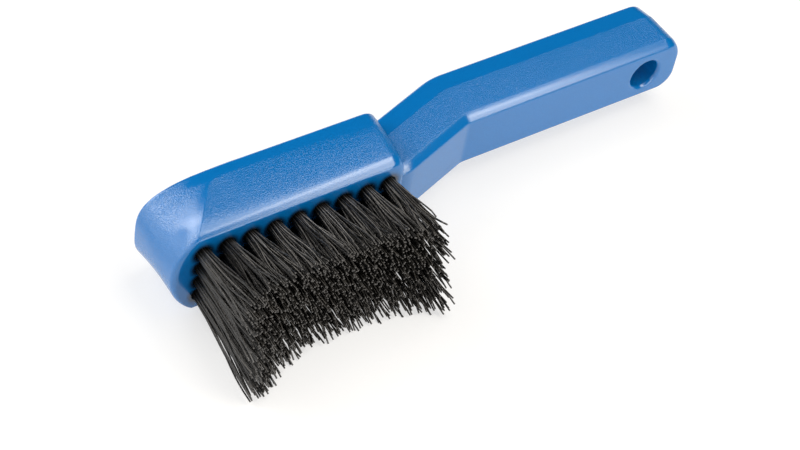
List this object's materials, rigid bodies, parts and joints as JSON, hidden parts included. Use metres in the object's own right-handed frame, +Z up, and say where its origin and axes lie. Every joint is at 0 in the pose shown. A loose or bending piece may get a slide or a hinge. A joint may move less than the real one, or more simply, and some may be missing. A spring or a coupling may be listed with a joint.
{
  "type": "bicycle cleaning brush",
  "caption": "Hand brush with a broad block head, an offset neck and a straight handle with a hanging hole; dark bristle tufts are trimmed to a hollow curve.",
  "frame": {"origin": "centre of the whole brush's footprint, on the surface that the flat side of the head lies on", "axes": "+X from the nose to the end of the handle, -Y the way the bristles point, +Z up across the width"},
  "size_m": [0.23, 0.082, 0.0395],
  "materials": {
    "blue_moulded_plastic": "satin, finely textured moulding",
    "black_filament": "smooth drawn filament"
  },
  "bodies": {
    "root": {"handle_body": "blue_moulded_plastic", "tuft_c1_r1": "black_filament", "tuft_c1_r2": "black_filament", "tuft_c1_r3": "black_filament", "tuft_c1_r4": "black_filament", "tuft_c2_r1": "black_filament", "tuft_c2_r2": "black_filament", "tuft_c2_r3": "black_filament", "tuft_c2_r4": "black_filament", "tuft_c3_r1": "black_filament", "tuft_c3_r2": "black_filament", "tuft_c3_r3": "black_filament", "tuft_c3_r4": "black_filament", "tuft_c4_r1": "black_filament", "tuft_c4_r2": "black_filament", "tuft_c4_r3": "black_filament", "tuft_c4_r4": "black_filament", "tuft_c5_r1": "black_filament", "tuft_c5_r2": "black_filament", "tuft_c5_r3": "black_filament", "tuft_c5_r4": "black_filament", "tuft_c6_r1": "black_filament", "tuft_c6_r2": "black_filament", "tuft_c6_r3": "black_filament", "tuft_c6_r4": "black_filament", "tuft_c7_r1": "black_filament", "tuft_c7_r2": "black_filament", "tuft_c7_r3": "black_filament", "tuft_c7_r4": "black_filament", "tuft_c8_r1": "black_filament", "tuft_c8_r2": "black_filament", "tuft_c8_r3": "black_filament", "tuft_c8_r4": "black_filament", "tuft_c9_r1": "black_filament", "tuft_c9_r2": "black_filament", "tuft_c9_r3": "black_filament", "tuft_c9_r4": "black_filament"}
  },
  "joints": []
}
